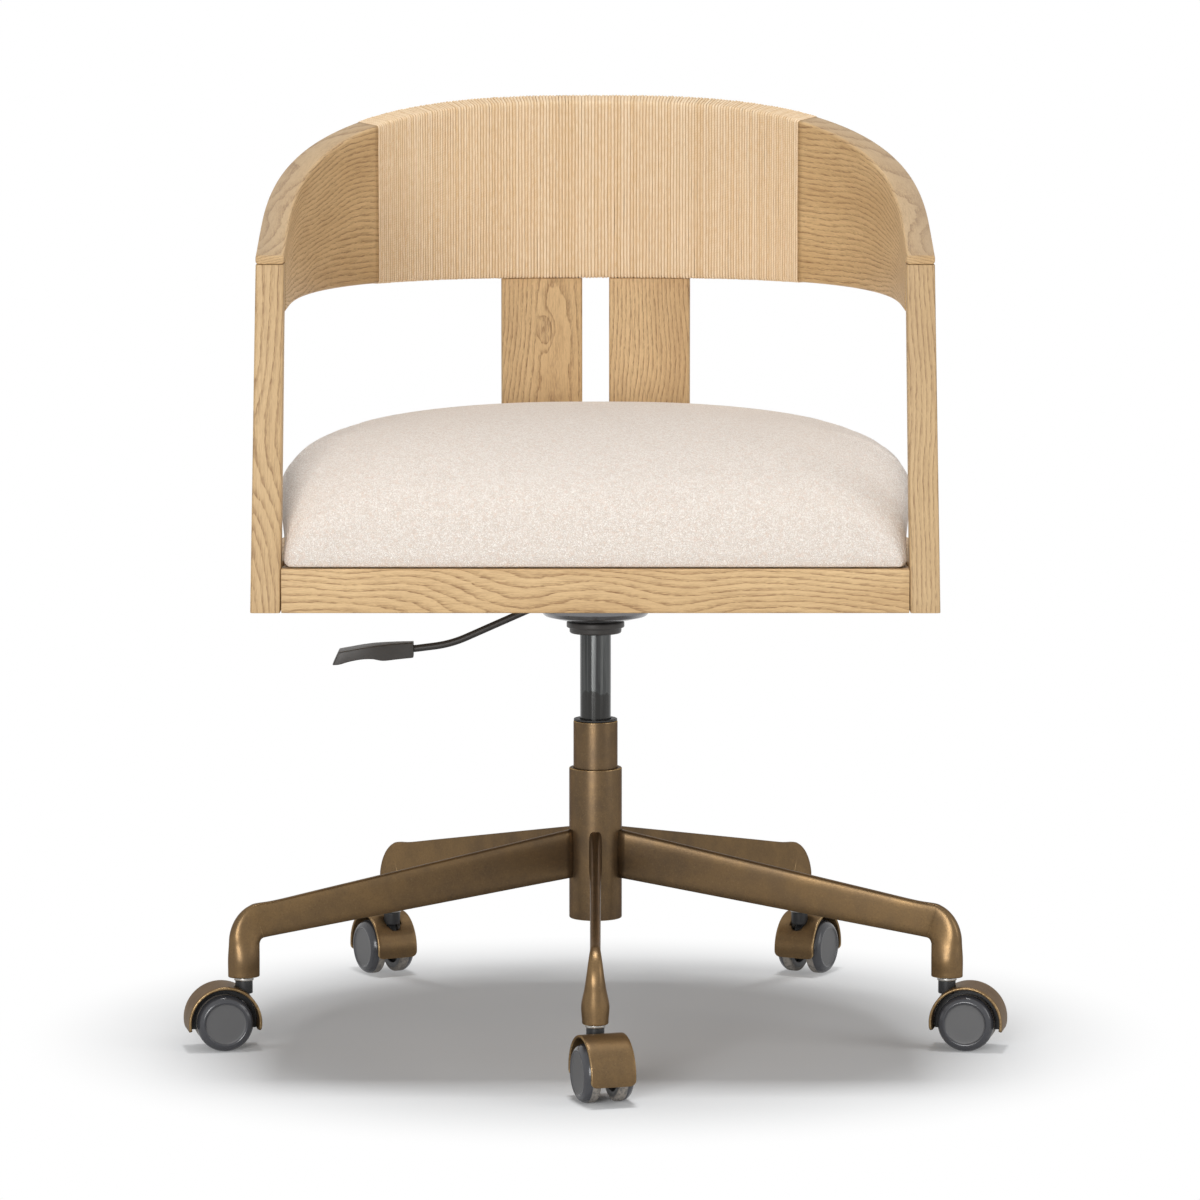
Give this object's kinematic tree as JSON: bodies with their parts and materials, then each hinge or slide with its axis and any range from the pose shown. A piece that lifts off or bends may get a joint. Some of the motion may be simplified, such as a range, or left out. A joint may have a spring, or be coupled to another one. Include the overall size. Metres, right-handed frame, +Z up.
{
  "type": "desk chair",
  "caption": "Swivel desk chair: bent oak back rail with arms and a cord-wound grip, flat splats, cream cushion, gas lift with lever, bronze star base on hooded twin-wheel casters.",
  "frame": {"origin": "on the floor, under the middle of the chair's bounding box", "axes": "+Z up, -Y towards the front of the chair, +X to the right seen from the front"},
  "size_m": [0.7288, 0.6998, 0.8269],
  "materials": {
    "oak": "oiled oak, satin",
    "paper_cord": "wound twisted paper cord",
    "cream_boucle": "cream boucle cloth",
    "plywood": "sanded plywood",
    "bronze_coat": "bronze coat, rubbed at the edges",
    "gunmetal": "dark coated steel",
    "steel": "bright steel",
    "black_steel": "black powder coat",
    "black_plastic": "black, fine texture",
    "dark_nylon": "dark nylon",
    "charcoal_wheel": "charcoal, semi gloss"
  },
  "bodies": {
    "base": {"hub": "bronze_coat", "column_tube": "bronze_coat", "column_bush": "dark_nylon", "thrust_bearing": "steel", "leg_1": "bronze_coat", "leg_2": "bronze_coat", "leg_3": "bronze_coat", "leg_4": "bronze_coat", "leg_5": "bronze_coat", "caster_1_stem": "steel", "caster_2_stem": "steel", "caster_3_stem": "steel", "caster_4_stem": "steel", "caster_5_stem": "steel"},
    "piston": {"piston_rod": "steel", "rod_clip": "steel"},
    "seat": {"pressure_tube": "gunmetal", "back_rail": "oak", "cord_wrap": "paper_cord", "left_post": "oak", "right_post": "oak", "front_rail": "oak", "seat_rail": "oak", "left_splat": "oak", "right_splat": "oak", "seat_cushion": "cream_boucle", "seat_board": "plywood", "mount_plate": "black_steel", "swivel_housing": "black_steel", "socket_collar": "black_steel", "lever_bracket": "black_steel", "lever_pin": "steel"},
    "lever": {"lever_rod": "black_steel", "lever_paddle": "black_plastic"},
    "release": {"release_pin": "steel"},
    "caster_1": {"caster_1_core": "dark_nylon", "caster_1_hood": "bronze_coat", "caster_1_axle": "steel"},
    "caster_1_wheel_left": {"caster_1_wheel_left": "charcoal_wheel"},
    "caster_1_wheel_right": {"caster_1_wheel_right": "charcoal_wheel"},
    "caster_2": {"caster_2_core": "dark_nylon", "caster_2_hood": "bronze_coat", "caster_2_axle": "steel"},
    "caster_2_wheel_left": {"caster_2_wheel_left": "charcoal_wheel"},
    "caster_2_wheel_right": {"caster_2_wheel_right": "charcoal_wheel"},
    "caster_3": {"caster_3_core": "dark_nylon", "caster_3_hood": "bronze_coat", "caster_3_axle": "steel"},
    "caster_3_wheel_left": {"caster_3_wheel_left": "charcoal_wheel"},
    "caster_3_wheel_right": {"caster_3_wheel_right": "charcoal_wheel"},
    "caster_4": {"caster_4_core": "dark_nylon", "caster_4_hood": "bronze_coat", "caster_4_axle": "steel"},
    "caster_4_wheel_left": {"caster_4_wheel_left": "charcoal_wheel"},
    "caster_4_wheel_right": {"caster_4_wheel_right": "charcoal_wheel"},
    "caster_5": {"caster_5_core": "dark_nylon", "caster_5_hood": "bronze_coat", "caster_5_axle": "steel"},
    "caster_5_wheel_left": {"caster_5_wheel_left": "charcoal_wheel"},
    "caster_5_wheel_right": {"caster_5_wheel_right": "charcoal_wheel"}
  },
  "joints": [
    {"name": "seat_swivel", "type": "hinge", "parent": "base", "child": "piston", "pos_m": [0, 0.03123, 0.2], "axis": [0, 0, 1], "continuous": true},
    {"name": "seat_lift", "type": "slide", "parent": "piston", "child": "seat", "axis": [0, 0, 1], "range_m": [-0.07, 0]},
    {"name": "lever", "type": "hinge", "parent": "seat", "child": "lever", "pos_m": [-0.03, 0.03123, 0.3915], "axis": [0, 1, 0], "range_deg": [0, 5.7], "stiffness_Nm_per_rad": 1.5},
    {"name": "release", "type": "slide", "parent": "seat", "child": "release", "axis": [0, 0, -1], "range_m": [0, 0.003]},
    {"name": "caster_1_swivel", "type": "hinge", "parent": "base", "child": "caster_1", "pos_m": [0, -0.29477, 0.06], "axis": [0, 0, 1], "continuous": true},
    {"name": "caster_1_left_roll", "type": "hinge", "parent": "caster_1", "child": "caster_1_wheel_left", "pos_m": [0.00587, -0.31284, 0.025], "axis": [0.9511, 0.309, 0], "continuous": true},
    {"name": "caster_1_right_roll", "type": "hinge", "parent": "caster_1", "child": "caster_1_wheel_right", "pos_m": [0.00587, -0.31284, 0.025], "axis": [0.9511, 0.309, 0], "continuous": true},
    {"name": "caster_2_swivel", "type": "hinge", "parent": "base", "child": "caster_2", "pos_m": [0.31004, -0.06951, 0.06], "axis": [0, 0, 1], "continuous": true},
    {"name": "caster_2_left_roll", "type": "hinge", "parent": "caster_2", "child": "caster_2_wheel_left", "pos_m": [0.3287, -0.07314, 0.025], "axis": [0.1908, 0.9816, 0], "continuous": true},
    {"name": "caster_2_right_roll", "type": "hinge", "parent": "caster_2", "child": "caster_2_wheel_right", "pos_m": [0.3287, -0.07314, 0.025], "axis": [0.1908, 0.9816, 0], "continuous": true},
    {"name": "caster_3_swivel", "type": "hinge", "parent": "base", "child": "caster_3", "pos_m": [0.19162, 0.29497, 0.06], "axis": [0, 0, 1], "continuous": true},
    {"name": "caster_3_left_roll", "type": "hinge", "parent": "caster_3", "child": "caster_3_wheel_left", "pos_m": [0.20024, 0.31189, 0.025], "axis": [-0.891, 0.454, 0], "continuous": true},
    {"name": "caster_3_right_roll", "type": "hinge", "parent": "caster_3", "child": "caster_3_wheel_right", "pos_m": [0.20024, 0.31189, 0.025], "axis": [-0.891, 0.454, 0], "continuous": true},
    {"name": "caster_4_swivel", "type": "hinge", "parent": "base", "child": "caster_4", "pos_m": [-0.19162, 0.29497, 0.06], "axis": [0, 0, 1], "continuous": true},
    {"name": "caster_4_left_roll", "type": "hinge", "parent": "caster_4", "child": "caster_4_wheel_left", "pos_m": [-0.20024, 0.31189, 0.025], "axis": [-0.891, -0.454, 0], "continuous": true},
    {"name": "caster_4_right_roll", "type": "hinge", "parent": "caster_4", "child": "caster_4_wheel_right", "pos_m": [-0.20024, 0.31189, 0.025], "axis": [-0.891, -0.454, 0], "continuous": true},
    {"name": "caster_5_swivel", "type": "hinge", "parent": "base", "child": "caster_5", "pos_m": [-0.31004, -0.06951, 0.06], "axis": [0, 0, 1], "continuous": true},
    {"name": "caster_5_left_roll", "type": "hinge", "parent": "caster_5", "child": "caster_5_wheel_left", "pos_m": [-0.3287, -0.07314, 0.025], "axis": [0.1908, -0.9816, 0], "continuous": true},
    {"name": "caster_5_right_roll", "type": "hinge", "parent": "caster_5", "child": "caster_5_wheel_right", "pos_m": [-0.3287, -0.07314, 0.025], "axis": [0.1908, -0.9816, 0], "continuous": true}
  ],
  "couplings": [
    {"joint": "release", "follows": "lever", "m_per_rad": 0.03}
  ]
}
